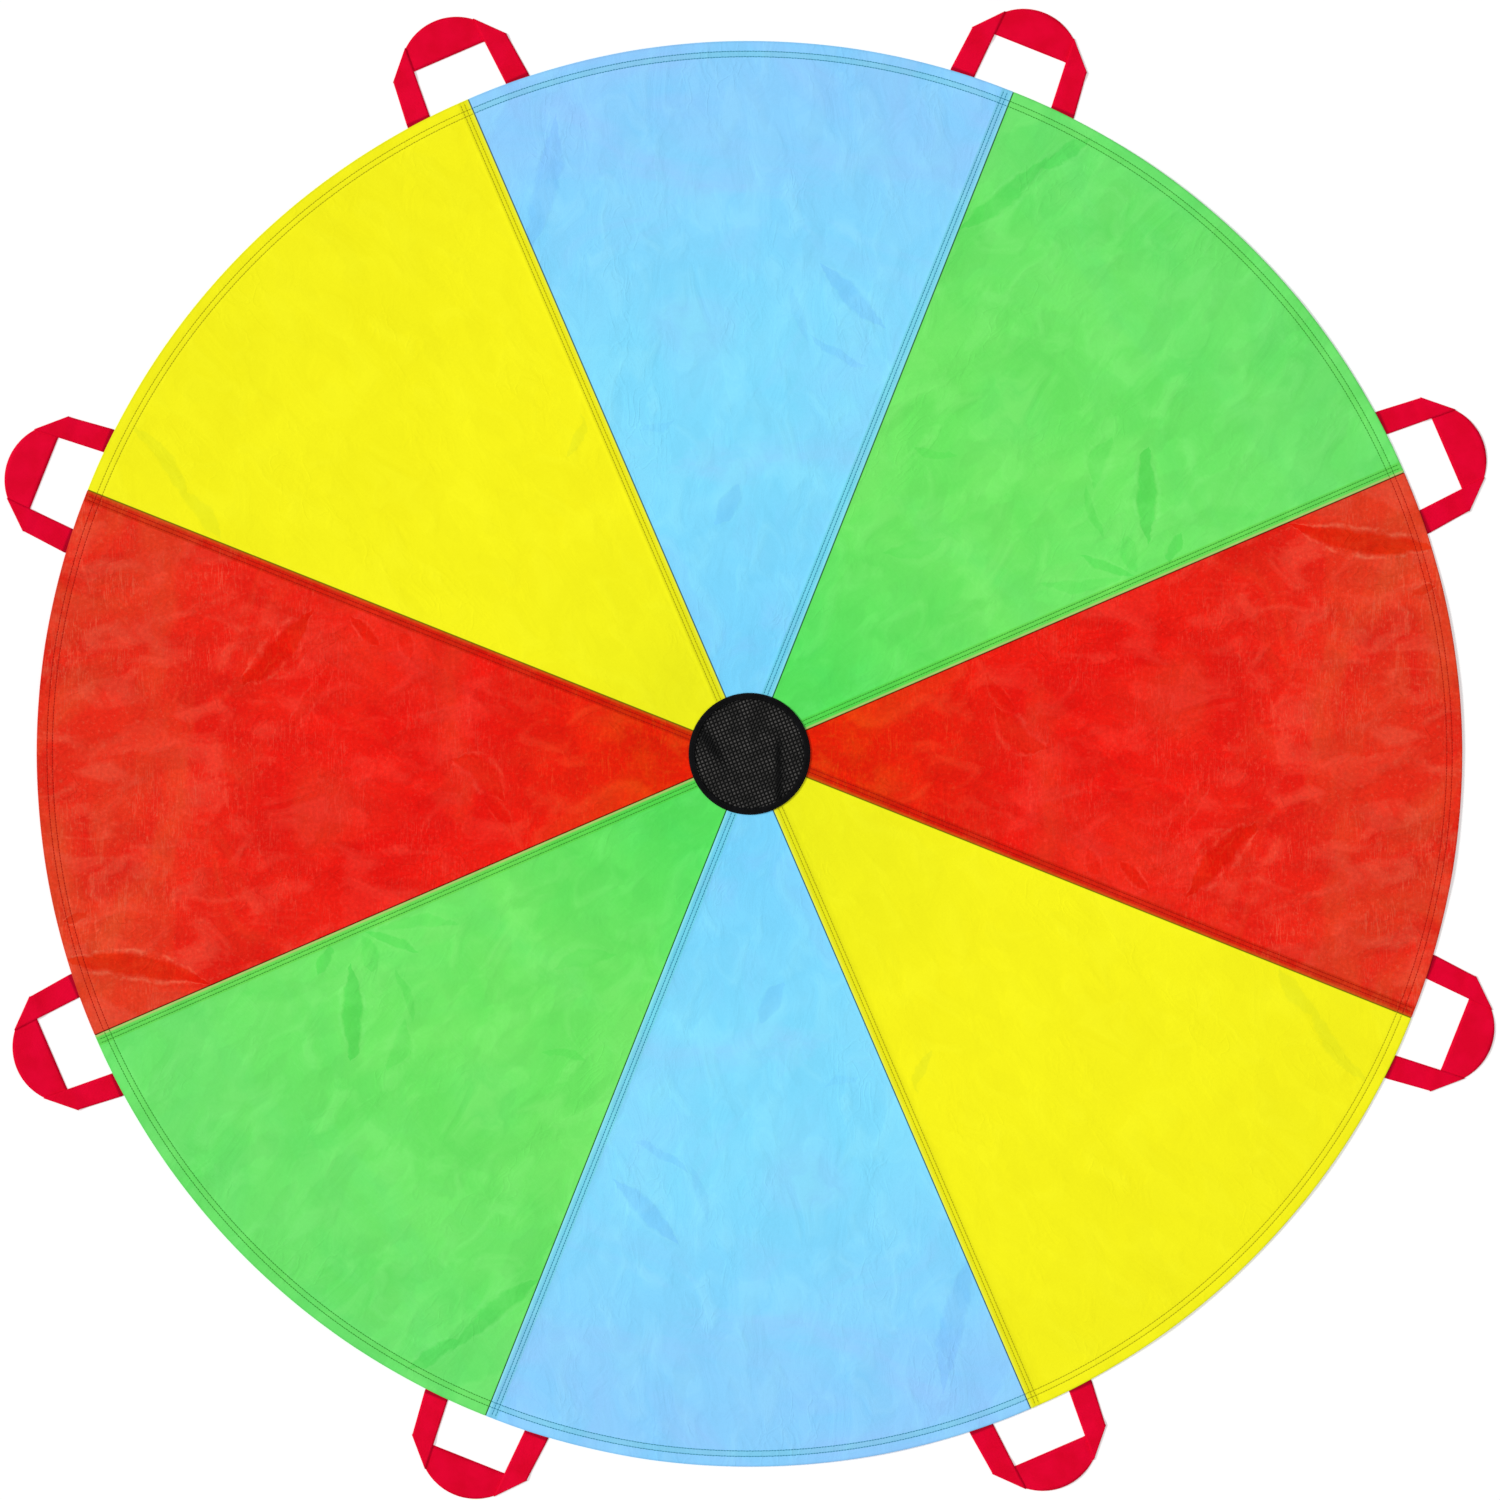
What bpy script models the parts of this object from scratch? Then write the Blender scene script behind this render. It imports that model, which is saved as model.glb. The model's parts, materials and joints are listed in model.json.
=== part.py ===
# Play parachute laid flat on the ground: eight cloth panels round a net, and eight webbing handles.
# Metres, +Z up. The origin is the middle of the canopy, on the ground that it lies on.
# Panel 0 is centred on +X, and the panels and handles are counted counter-clockwise from there.
import math

import bmesh
import bpy

# Canopy cloth
canopy_radius = 0.9144
panel_count = 8
panel_arc_steps = 16
fabric_thickness = 0.0004
layer_clearance = 0.0003

# Hem: the rim is turned under once and held by two rows of stitches, measured from the rim
hem_outer_row = 0.0130
hem_inner_row = 0.0200
hem_raw_margin = 0.0020

# Lapped seams: each panel lies over its clockwise neighbour, rows measured from the lap's edge
seam_first_row = 0.0065
seam_second_row = 0.0115
seam_raw_margin = 0.0025
seam_end_setback = 0.0010

# Hub: a net disc on the panels' inner ends, under a binding ring
binding_inner_radius = 0.0700
binding_width = 0.0080
binding_thickness = 0.0008
binding_lip_width = 0.0017
binding_edge_chamfer = 0.0003
binding_stitch_margin = 0.0015
panel_end_cover = 0.0070
net_thickness = 0.0005
net_pitch = 0.0084
net_strand_width = 0.0048
net_turn = -math.radians(25)
hub_steps = 64

# Sewing thread
thread_radius = 0.00025
thread_end_gap = 0.0010

# Handles: one strap each, its two legs sewn under the hem, folded over at both top corners
strap_width = 0.0320
strap_thickness = 0.0010
leg_gap_at_rim = 0.1060
leg_gap_at_grip = 0.0940
grip_reach = 0.0600
fold_corner_drop = 0.0030
crown_bulge = 0.0170
crown_steps = 12
strap_end_margin = 0.0040

# Angles
full_turn = 2 * math.pi
panel_angle = full_turn / panel_count
half_panel_angle = panel_angle / 2

# Heights of the layers, from the ground up
hem_bottom = strap_thickness + layer_clearance
sheet_bottom = hem_bottom + fabric_thickness
sheet_top = sheet_bottom + fabric_thickness
allowance_top = hem_bottom - layer_clearance
allowance_bottom = allowance_top - fabric_thickness
sheet_middle = (sheet_bottom + sheet_top) / 2
allowance_middle = (allowance_bottom + allowance_top) / 2
net_bottom = sheet_top + layer_clearance
net_top = net_bottom + net_thickness
binding_bottom = net_top + layer_clearance
binding_top = binding_bottom + binding_thickness
sheet_thread_height = sheet_top + layer_clearance + thread_radius
binding_thread_height = binding_top + layer_clearance + thread_radius

# Radii and widths that follow from the sizes above
hem_depth = hem_inner_row + hem_raw_margin
seam_allowance = seam_second_row + seam_raw_margin
hem_end_inset = 3 * fabric_thickness / 2
binding_outer_radius = binding_inner_radius + binding_width
panel_inner_radius = binding_outer_radius - panel_end_cover
net_radius = binding_outer_radius - binding_lip_width - layer_clearance

# The strap turns about the rim, so the hinge line lies where the legs' inner edges pass under it
leg_inner_at_rim = leg_gap_at_rim / 2
rim_flat_radius = canopy_radius * math.cos(half_panel_angle / panel_arc_steps)
hinge_radius = math.sqrt(rim_flat_radius ** 2 - leg_inner_at_rim ** 2)
hinge_height = (strap_thickness + sheet_top + layer_clearance) / 2
hinge_inset = canopy_radius - hinge_radius
leg_start = hinge_height - allowance_top
strap_end_outer = -(hinge_height + layer_clearance)
strap_end_inner = -(hem_depth + strap_end_margin)

# Colours, linear, as the photograph shows them
panel_colours = {
    "red": (0.815, 0.022, 0.010),
    "green": (0.159, 0.791, 0.136),
    "blue": (0.235, 0.694, 0.991),
    "yellow": (0.922, 0.896, 0.013),
}
thread_colours = {
    "red": (0.350, 0.008, 0.006),
    "green": (0.030, 0.350, 0.040),
    "blue": (0.040, 0.350, 0.420),
    "yellow": (0.450, 0.380, 0.010),
}
webbing_colour = (0.723, 0.002, 0.028)
hem_thread_colour = (0.250, 0.300, 0.100)
net_colour = (0.018, 0.018, 0.017)
binding_colour = (0.007, 0.007, 0.007)

panel_order = ["red", "green", "blue", "yellow", "red", "green", "blue", "yellow"]
panel_places = [
    "right", "upper_right", "top", "upper_left", "left", "lower_left", "bottom", "lower_right",
]


def clear_scene():
    for scene_object in list(bpy.data.objects):
        bpy.data.objects.remove(scene_object, do_unlink=True)


def make_collection(name):
    collection = bpy.data.collections.new(name)
    bpy.context.scene.collection.children.link(collection)
    return collection


def make_material(name, colour, roughness):
    material = bpy.data.materials.new(name)
    material.use_nodes = True
    shader = material.node_tree.nodes["Principled BSDF"]
    shader.inputs["Base Color"].default_value = (*colour, 1)
    shader.inputs["Roughness"].default_value = roughness
    shader.inputs["Metallic"].default_value = 0
    material.diffuse_color = (*colour, 1)
    return material


def place(collection, name, data, material, location=(0, 0, 0), turn=0):
    # Pieces of one shape share their mesh, so the material sits on the object
    piece = bpy.data.objects.new(name, data)
    piece.location = location
    piece.rotation_euler = (0, 0, turn)
    if not data.materials:
        data.materials.append(material)
    piece.material_slots[0].link = "OBJECT"
    piece.material_slots[0].material = material
    collection.objects.link(piece)
    return piece


def evaluated_mesh(source):
    depsgraph = bpy.context.evaluated_depsgraph_get()
    return bpy.data.meshes.new_from_object(source.evaluated_get(depsgraph))


def outline_curve(name, outlines, thickness):
    curve = bpy.data.curves.new(name, "CURVE")
    curve.dimensions = "2D"
    curve.fill_mode = "BOTH"
    curve.extrude = thickness / 2
    for outline in outlines:
        spline = curve.splines.new("POLY")
        spline.points.add(len(outline) - 1)
        for point, (x, y) in zip(spline.points, outline):
            point.co = (x, y, 0, 1)
        spline.use_cyclic_u = True
    return curve


def flat_mesh(name, outlines, bottom, top):
    # A flat piece: its outline, and any holes in it, raised from bottom to top
    curve = outline_curve(name, outlines, top - bottom)
    drawing = bpy.data.objects.new(name, curve)
    bpy.context.scene.collection.objects.link(drawing)
    mesh = evaluated_mesh(drawing)
    bpy.data.objects.remove(drawing)
    bpy.data.curves.remove(curve)
    shape = bmesh.new()
    shape.from_mesh(mesh)
    bmesh.ops.remove_doubles(shape, verts=shape.verts, dist=fabric_thickness / 100)
    bmesh.ops.translate(shape, vec=(0, 0, (bottom + top) / 2), verts=shape.verts)
    bmesh.ops.recalc_face_normals(shape, faces=shape.faces)
    shape.to_mesh(mesh)
    shape.free()
    return mesh


def joined_mesh(name, meshes):
    # One body from several that overlap
    whole = bpy.data.objects.new(name, meshes[0])
    bpy.context.scene.collection.objects.link(whole)
    added = []
    for mesh in meshes[1:]:
        piece = bpy.data.objects.new(name, mesh)
        bpy.context.scene.collection.objects.link(piece)
        union = whole.modifiers.new("join", "BOOLEAN")
        union.operation = "UNION"
        union.solver = "EXACT"
        union.object = piece
        added.append(piece)
    mesh = evaluated_mesh(whole)
    mesh.name = name
    for piece in [whole, *added]:
        bpy.data.objects.remove(piece)
    return mesh


def rectangle(x_low, x_high, y_low, y_high):
    return [(x_low, y_low), (x_high, y_low), (x_high, y_high), (x_low, y_high)]


def turned(outline, angle):
    cosine, sine = math.cos(angle), math.sin(angle)
    return [(x * cosine - y * sine, x * sine + y * cosine) for x, y in outline]


def arc_points(radius, start, end, steps):
    angles = [start + (end - start) * step / steps for step in range(steps + 1)]
    return [(radius * math.cos(angle), radius * math.sin(angle)) for angle in angles]


def circle_points(radius, steps):
    return arc_points(radius, 0, full_turn, steps)[:-1]


def band_outline(inner_radius, outer_radius, seam_gap):
    # Between two radii of the panel on +X, the gap clear of both seam lines
    inner_limit = half_panel_angle - math.asin(seam_gap / inner_radius)
    outer_limit = half_panel_angle - math.asin(seam_gap / outer_radius)
    outer_edge = arc_points(outer_radius, -outer_limit, outer_limit, panel_arc_steps)
    inner_edge = arc_points(inner_radius, inner_limit, -inner_limit, panel_arc_steps)
    return outer_edge + inner_edge


def panel_mesh():
    # The parts of one panel overlap by half a thickness or more, so that they join into one body
    lap_edge = layer_clearance / 2
    sheet_outline = band_outline(panel_inner_radius, canopy_radius, lap_edge)
    hem_outline = band_outline(
        canopy_radius - hem_depth, canopy_radius - fabric_thickness / 2, lap_edge + hem_end_inset)
    # The allowance steps down beside the seam and runs on under the next panel's lap
    start, end = panel_inner_radius, canopy_radius - seam_end_setback
    step_inner, step_outer = -lap_edge - 2 * fabric_thickness, -lap_edge - fabric_thickness
    step_outline = rectangle(
        start + fabric_thickness, end - fabric_thickness, step_inner, step_outer)
    allowance_outline = rectangle(start, end, step_inner - fabric_thickness, seam_allowance)
    return joined_mesh("panel", [
        flat_mesh("sheet", [sheet_outline], sheet_bottom, sheet_top),
        flat_mesh("hem", [hem_outline], hem_bottom, sheet_middle),
        flat_mesh("step", [turned(step_outline, half_panel_angle)], allowance_middle, sheet_middle),
        flat_mesh(
            "allowance", [turned(allowance_outline, half_panel_angle)],
            allowance_bottom, allowance_top),
    ])


def leg_inner_edge(reach):
    # Half the gap between the legs at a distance out from the rim
    closing = (leg_gap_at_rim - leg_gap_at_grip) / 2
    return leg_inner_at_rim - closing * reach / grip_reach


def handle_points():
    # Reach is out from the rim's outermost point; the mesh is measured from the hinge line
    def at(reach, side):
        return (reach + hinge_inset, side)

    corner_reach = grip_reach - fold_corner_drop
    shoulder_reach = grip_reach + strap_width
    grip_side = leg_inner_edge(grip_reach)
    return {
        "base_inner": (leg_start, leg_inner_at_rim),
        "base_outer": (leg_start, leg_inner_at_rim + strap_width),
        "corner": at(corner_reach, leg_inner_edge(corner_reach) + strap_width),
        "shoulder": at(shoulder_reach, grip_side),
        "grip": at(grip_reach, grip_side),
    }


def crown_arc(shoulder):
    # From one shoulder to the other, bulging outwards
    half_span = shoulder[1]
    radius = (half_span ** 2 + crown_bulge ** 2) / (2 * crown_bulge)
    half_angle = math.asin(half_span / radius)
    centre = shoulder[0] + crown_bulge - radius
    arc = arc_points(radius, half_angle, -half_angle, crown_steps)
    return [(centre + x, y) for x, y in arc]


def handle_loop_mesh():
    points = handle_points()
    side = [points[key] for key in ("base_inner", "base_outer", "corner")]
    mirrored = [(x, -y) for x, y in reversed(side)]
    grip = points["grip"]
    strap = [*side, *crown_arc(points["shoulder"]), *mirrored, (grip[0], -grip[1]), grip]
    bottom = -hinge_height
    layers = [flat_mesh("strap", [strap], bottom, bottom + strap_thickness)]
    # Each leg is folded over the crown strap, which doubles the webbing in a corner triangle
    fold = [points[key] for key in ("corner", "shoulder", "grip")]
    for sign in (1, -1):
        outline = [(x, sign * y) for x, y in fold]
        layers.append(flat_mesh("fold", [outline], bottom, bottom + 2 * strap_thickness))
    return joined_mesh("handle_loop", layers)


def strap_end_mesh():
    outline = rectangle(
        strap_end_inner, strap_end_outer, -strap_width / 2, strap_width / 2)
    return flat_mesh("strap_end", [outline], 0, strap_thickness)


def net_mesh():
    outlines = [circle_points(net_radius, hub_steps)]
    opening = (net_pitch - net_strand_width) / 2
    reach = binding_inner_radius - net_strand_width / 2
    count = math.ceil(reach / net_pitch)
    for column in range(-count, count + 1):
        for row in range(-count, count + 1):
            x, y = column * net_pitch, row * net_pitch
            if math.hypot(abs(x) + opening, abs(y) + opening) > reach:
                continue
            gap = rectangle(x - opening, x + opening, y - opening, y + opening)
            outlines.append(turned(gap, net_turn))
    return flat_mesh("net", outlines, net_bottom, net_top)


def binding_ring(collection, material):
    # Turned section: down the outer side, along the lip's foot, up round the net, and back inside
    lip_inner = binding_outer_radius - binding_lip_width
    chamfer = binding_edge_chamfer
    profile = [
        (binding_outer_radius - chamfer, binding_top),
        (binding_outer_radius, binding_top - chamfer),
        (binding_outer_radius, net_bottom),
        (lip_inner, net_bottom),
        (lip_inner, binding_bottom),
        (binding_inner_radius, binding_bottom),
        (binding_inner_radius, binding_top - chamfer),
        (binding_inner_radius + chamfer, binding_top),
    ]
    mesh = bpy.data.meshes.new("net_binding")
    section = bmesh.new()
    corners = [section.verts.new((radius, 0, height)) for radius, height in profile]
    for here, following in zip(corners, corners[1:] + corners[:1]):
        section.edges.new((here, following))
    section.to_mesh(mesh)
    section.free()
    ring = place(collection, "net_binding", mesh, material)
    screw = ring.modifiers.new("turn", "SCREW")
    screw.axis = "Z"
    screw.angle = full_turn
    screw.steps = hub_steps
    screw.render_steps = hub_steps
    screw.use_merge_vertices = True
    screw.merge_threshold = layer_clearance / 10
    return ring


def thread_curve(name, points, closed):
    curve = bpy.data.curves.new(name, "CURVE")
    curve.dimensions = "3D"
    curve.bevel_depth = thread_radius
    curve.bevel_resolution = 0
    curve.use_fill_caps = not closed
    spline = curve.splines.new("POLY")
    spline.points.add(len(points) - 1)
    for point, place_of_point in zip(spline.points, points):
        point.co = (*place_of_point, 1)
    spline.use_cyclic_u = closed
    return curve


def thread_ring(collection, name, radius, height, steps, material):
    points = [(x, y, 0) for x, y in circle_points(radius, steps)]
    return place(collection, name, thread_curve(name, points, True), material, (0, 0, height))


def add_panels(collection):
    mesh = panel_mesh()
    for number, (colour, spot) in enumerate(zip(panel_order, panel_places)):
        name = f"panel_{spot}_{colour}"
        material = make_material(name, panel_colours[colour], 0.55)
        place(collection, name, mesh, material, turn=number * panel_angle)


def add_seam_threads(collection):
    inner_end = binding_outer_radius + thread_end_gap
    outer_end = canopy_radius - hem_inner_row - thread_radius - thread_end_gap
    rows = {"a": seam_first_row, "b": seam_second_row}
    for number in range(panel_count):
        colour = panel_order[(number + 1) % panel_count]
        turn = number * panel_angle + half_panel_angle
        for letter, offset in rows.items():
            name = f"seam_{number + 1}_thread_{letter}"
            material = make_material(name, thread_colours[colour], 0.6)
            row = thread_curve(name, [(inner_end, offset, 0), (outer_end, offset, 0)], False)
            place(collection, name, row, material, (0, 0, sheet_thread_height), turn)


def add_hub(collection):
    net_material = make_material("centre_net", net_colour, 0.6)
    binding_material = make_material("net_binding", binding_colour, 0.45)
    place(collection, "centre_net", net_mesh(), net_material)
    binding_ring(collection, binding_material)
    rows = {
        "inner": binding_inner_radius + binding_stitch_margin,
        "outer": binding_outer_radius - binding_stitch_margin,
    }
    for side, radius in rows.items():
        name = f"binding_thread_{side}"
        material = make_material(name, binding_colour, 0.6)
        thread_ring(collection, name, radius, binding_thread_height, hub_steps, material)


def add_hem_threads(collection):
    steps = panel_arc_steps * panel_count
    for side, depth in {"outer": hem_outer_row, "inner": hem_inner_row}.items():
        name = f"hem_thread_{side}"
        material = make_material(name, hem_thread_colour, 0.6)
        thread_ring(collection, name, canopy_radius - depth, sheet_thread_height, steps, material)


def add_handles(collection):
    loop, strap_end = handle_loop_mesh(), strap_end_mesh()
    leg_middle = leg_inner_at_rim + strap_width / 2
    for number in range(panel_count):
        turn = number * panel_angle + half_panel_angle
        hinge = (hinge_radius * math.cos(turn), hinge_radius * math.sin(turn), hinge_height)
        name = f"handle_{number + 1}_loop"
        place(collection, name, loop, make_material(name, webbing_colour, 0.7), hinge, turn)
        for letter, side in {"a": -leg_middle, "b": leg_middle}.items():
            name = f"handle_{number + 1}_end_{letter}"
            x, y = turned([(hinge_radius, side)], turn)[0]
            material = make_material(name, webbing_colour, 0.7)
            place(collection, name, strap_end, material, (x, y, 0), turn)


clear_scene()
parachute = make_collection("play_parachute")
add_panels(parachute)
add_seam_threads(parachute)
add_hem_threads(parachute)
add_hub(parachute)
add_handles(parachute)
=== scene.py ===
# Play parachute laid out flat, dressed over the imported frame. Metres, +Z up, seen from straight above.
import json
import math

import bmesh
import bpy
import numpy as np
from mathutils import Matrix, Vector, noise


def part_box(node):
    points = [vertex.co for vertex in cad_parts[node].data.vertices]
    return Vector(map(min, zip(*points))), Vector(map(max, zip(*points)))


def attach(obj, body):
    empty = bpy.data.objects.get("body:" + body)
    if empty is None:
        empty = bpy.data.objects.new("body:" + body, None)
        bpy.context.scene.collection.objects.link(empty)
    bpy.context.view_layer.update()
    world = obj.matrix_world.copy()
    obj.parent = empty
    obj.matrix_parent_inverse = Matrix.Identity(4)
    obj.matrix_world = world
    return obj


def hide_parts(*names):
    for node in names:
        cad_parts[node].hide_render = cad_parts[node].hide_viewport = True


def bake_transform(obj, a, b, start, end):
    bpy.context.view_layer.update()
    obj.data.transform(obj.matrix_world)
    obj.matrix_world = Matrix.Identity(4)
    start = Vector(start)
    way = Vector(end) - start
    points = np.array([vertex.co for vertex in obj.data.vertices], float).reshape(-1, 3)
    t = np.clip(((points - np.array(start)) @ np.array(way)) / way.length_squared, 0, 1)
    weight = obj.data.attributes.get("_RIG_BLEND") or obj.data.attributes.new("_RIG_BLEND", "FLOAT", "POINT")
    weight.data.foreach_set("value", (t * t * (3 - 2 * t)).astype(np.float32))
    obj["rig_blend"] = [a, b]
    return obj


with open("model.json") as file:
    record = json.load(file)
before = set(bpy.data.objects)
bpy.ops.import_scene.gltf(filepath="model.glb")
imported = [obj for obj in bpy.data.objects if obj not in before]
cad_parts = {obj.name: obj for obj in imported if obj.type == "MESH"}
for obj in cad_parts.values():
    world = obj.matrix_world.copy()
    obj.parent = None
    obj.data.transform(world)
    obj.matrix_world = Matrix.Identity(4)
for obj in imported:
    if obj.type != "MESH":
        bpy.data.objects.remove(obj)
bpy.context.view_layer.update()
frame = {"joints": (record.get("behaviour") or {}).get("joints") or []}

panelTurn = math.radians(45)
halfTurn = panelTurn / 2
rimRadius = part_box("panel_right_red")[1].x
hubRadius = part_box("net_binding")[1].x
panels = [  # counter-clockwise from +X
    ("panel_right_red", "red"), ("panel_upper_right_green", "green"),
    ("panel_top_blue", "blue"), ("panel_upper_left_yellow", "yellow"),
    ("panel_left_red", "red"), ("panel_lower_left_green", "green"),
    ("panel_bottom_blue", "blue"), ("panel_lower_right_yellow", "yellow"),
]
hinges = [(joint["child"], Vector(joint["pos_m"])) for joint in frame["joints"]]


# Small tools

def smoothStep(low, high, value):
    share = np.clip((np.asarray(value, float) - low) / (high - low), 0, 1)
    return share * share * (3 - 2 * share)


def bell(value, middle, width):
    return np.exp(-((value - middle) / width) ** 2)


def readPoints(mesh):
    points = np.empty(len(mesh.vertices) * 3)
    mesh.vertices.foreach_get("co", points)
    return points.reshape(-1, 3)


def writePoints(mesh, x, y, z):
    mesh.vertices.foreach_set("co", np.column_stack([x, y, z]).astype(np.float32).ravel())
    mesh.update()


def turned(x, y, angle):
    return x * math.cos(angle) - y * math.sin(angle), x * math.sin(angle) + y * math.cos(angle)


def storeValues(mesh, name, values):
    attribute = mesh.attributes.new(name, "FLOAT", "POINT")
    attribute.data.foreach_set("value", np.asarray(values, np.float32))


def meshFrom(bm, name):
    mesh = bpy.data.meshes.new(name)
    bm.to_mesh(mesh)
    bm.free()
    mesh.shade_smooth()
    return mesh


def addPiece(name, mesh, material):
    piece = bpy.data.objects.new(name, mesh)
    bpy.context.scene.collection.objects.link(piece)
    mesh.materials.clear()
    mesh.materials.append(material)
    return piece


def finishMesh(piece):
    # The modifiers' result becomes the piece's own mesh
    depsgraph = bpy.context.evaluated_depsgraph_get()
    mesh = bpy.data.meshes.new_from_object(piece.evaluated_get(depsgraph))
    mesh.name = piece.name
    piece.modifiers.clear()
    piece.data = mesh


def sewOn(piece, node):
    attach(piece, "canopy")
    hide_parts(node)


def thicken(piece, thickness):
    wall = piece.modifiers.new("wall", "SOLIDIFY")
    wall.thickness = thickness
    wall.offset = 0
    wall.use_rim = True
    finishMesh(piece)


# Camera, lights and floor

studio = {
    "lens": 85, "sensor": 36, "frameWidth": 1.9255,  # the photograph's width on the floor
    "aim": (0.0007, 0.0049), "turn": -0.8,
    "floorSize": 60.0, "worldLight": 0.36,
    "lamps": {  # where it shines from, how soft in degrees, strength
        "keyLamp": ((-6.4, 1.5, 4.4), 14, 2.35),
        "topLamp": ((0.8, -1.2, 6.0), 40, 0.75),
    },
}


def setUpStudio():
    scene = bpy.context.scene
    scene.view_settings.view_transform = "Standard"
    camera = bpy.data.objects.new("camera", bpy.data.cameras.new("camera"))
    camera.data.lens = studio["lens"]
    camera.data.sensor_width = studio["sensor"]
    height = studio["frameWidth"] * studio["lens"] / studio["sensor"]
    camera.location = (*studio["aim"], height)
    camera.rotation_euler = (0, 0, math.radians(studio["turn"]))
    scene.collection.objects.link(camera)
    scene.camera = camera
    for name, (place, softness, power) in studio["lamps"].items():
        lamp = bpy.data.objects.new(name, bpy.data.lights.new(name, "SUN"))
        lamp.data.angle = math.radians(softness)
        lamp.data.energy = power
        lamp.location = place
        lamp.rotation_mode = "QUATERNION"
        lamp.rotation_quaternion = (-Vector(place)).to_track_quat("-Z", "Y")
        scene.collection.objects.link(lamp)
    world = bpy.data.worlds.new("studio")
    world.use_nodes = True
    world.node_tree.nodes["Background"].inputs["Color"].default_value = (1, 1, 1, 1)
    world.node_tree.nodes["Background"].inputs["Strength"].default_value = studio["worldLight"]
    scene.world = world
    bm = bmesh.new()
    bmesh.ops.create_grid(bm, x_segments=8, y_segments=8, size=studio["floorSize"] / 2)
    addPiece("floor", meshFrom(bm, "floor"), floorMaterial())


# Materials

def newNode(tree, kind, inputs=None, **settings):
    node = tree.nodes.new(kind)
    for key, value in settings.items():
        setattr(node, key, value)
    for key, value in (inputs or {}).items():
        if isinstance(value, bpy.types.NodeSocket):
            tree.links.new(value, node.inputs[key])
        else:
            node.inputs[key].default_value = value
    return node


def calc(tree, operation, *values, clamp=False):
    return newNode(
        tree, "ShaderNodeMath", dict(enumerate(values)), operation=operation, use_clamp=clamp).outputs[0]


def times(tree, first, second):
    return calc(tree, "MULTIPLY", first, second)


def mixColour(tree, share, first, second, blend="MIX"):
    inputs = {0: share}
    for number, value in ((6, first), (7, second)):
        inputs[number] = value if isinstance(value, bpy.types.NodeSocket) else (*value, 1)
    return newNode(tree, "ShaderNodeMix", inputs, data_type="RGBA", blend_type=blend).outputs[2]


def remap(tree, value, low, high, toLow=0.0, toHigh=1.0):
    return newNode(tree, "ShaderNodeMapRange", {
        "Value": value, "From Min": low, "From Max": high, "To Min": toLow, "To Max": toHigh,
    }).outputs["Result"]


def noiseValue(tree, vector, scale, detail=3.0, roughness=0.5, distortion=0.0, output="Fac"):
    # Everything lies flat, so the noise is worked out in X and Y alone
    return newNode(tree, "ShaderNodeTexNoise", {
        "Vector": vector, "Scale": scale, "Detail": detail, "Roughness": roughness,
        "Distortion": distortion,
    }, noise_dimensions="2D").outputs[output]


def stretched(tree, vector, turn, scale):
    return newNode(tree, "ShaderNodeMapping", {
        "Vector": vector, "Rotation": (0, 0, turn), "Scale": scale}).outputs["Vector"]


def shaderGroup(name, inputs):
    group = bpy.data.node_groups.new(name, "ShaderNodeTree")
    for socket, (kind, value) in inputs.items():
        made = group.interface.new_socket(socket, in_out="INPUT", socket_type=f"NodeSocket{kind}")
        if value is not None:
            made.default_value = value
    return group, newNode(group, "NodeGroupInput").outputs


def giveOut(group, values):
    for socket in values:
        group.interface.new_socket(socket, in_out="OUTPUT", socket_type="NodeSocketFloat")
    newNode(group, "NodeGroupOutput", values)


def fillGroup(tree, name, inputs):
    return newNode(tree, "ShaderNodeGroup", inputs, node_tree=bpy.data.node_groups[name]).outputs


def attributeOf(tree, name, output="Fac"):
    return newNode(tree, "ShaderNodeAttribute", attribute_name=name).outputs[output]


def partsOf(tree, vector):
    return newNode(tree, "ShaderNodeSeparateXYZ", {0: vector}).outputs


def weaveGroup():
    # Warp and weft threads crossing, one over the other, with a slub here and there
    group, given = shaderGroup("threadWeave", {"Vector": ("Vector", None), "Pitch": ("Float", 0.0005)})
    parts = partsOf(group, given["Vector"])
    waves = []
    for axis in "XY":
        phase = calc(group, "DIVIDE", parts[axis], given["Pitch"])
        waves.append(calc(group, "SINE", times(group, phase, 2 * math.pi)))
    slub = noiseValue(group, stretched(group, given["Vector"], 0, (900, 60, 60)), 1.0, 2.0)
    height = calc(group, "MULTIPLY_ADD", times(group, *waves), 0.35, times(group, slub, 0.6))
    giveOut(group, {"Height": height})


def crumpleGroup():
    # Soft dents, the sharper lines that folding leaves in thin cloth, and small flat facets between them
    group, given = shaderGroup("clothCrumple", {"Vector": ("Vector", None)})
    vector = stretched(group, given["Vector"], 0, (1.0, 1.7, 1.0))
    dents = noiseValue(group, vector, 15.0, 4.0, 0.55, 0.6)
    fine = noiseValue(group, vector, 27.0, 2.0, 0.5, 0.4)
    ridge = calc(group, "ABSOLUTE", calc(group, "SUBTRACT", fine, 0.5))
    lines = calc(group, "SUBTRACT", 1.0, times(group, ridge, 14.0), clamp=True)
    patch = remap(group, noiseValue(group, vector, 6.0, 2.0), 0.48, 0.66)
    bent = newNode(group, "ShaderNodeVectorMath", {
        0: noiseValue(group, vector, 30.0, 3.0, output="Color"), 1: (0.03, 0.03, 0.0), 2: vector,
    }, operation="MULTIPLY_ADD").outputs["Vector"]
    cells = newNode(group, "ShaderNodeTexVoronoi", {
        "Vector": bent, "Scale": 22.5, "Smoothness": 0.35,
    }, feature="SMOOTH_F1", voronoi_dimensions="2D").outputs["Color"]
    facet = newNode(group, "ShaderNodeSeparateColor", {0: cells}).outputs["Red"]
    giveOut(group, {"Dents": dents, "Lines": times(group, lines, patch), "Facets": facet})


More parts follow.
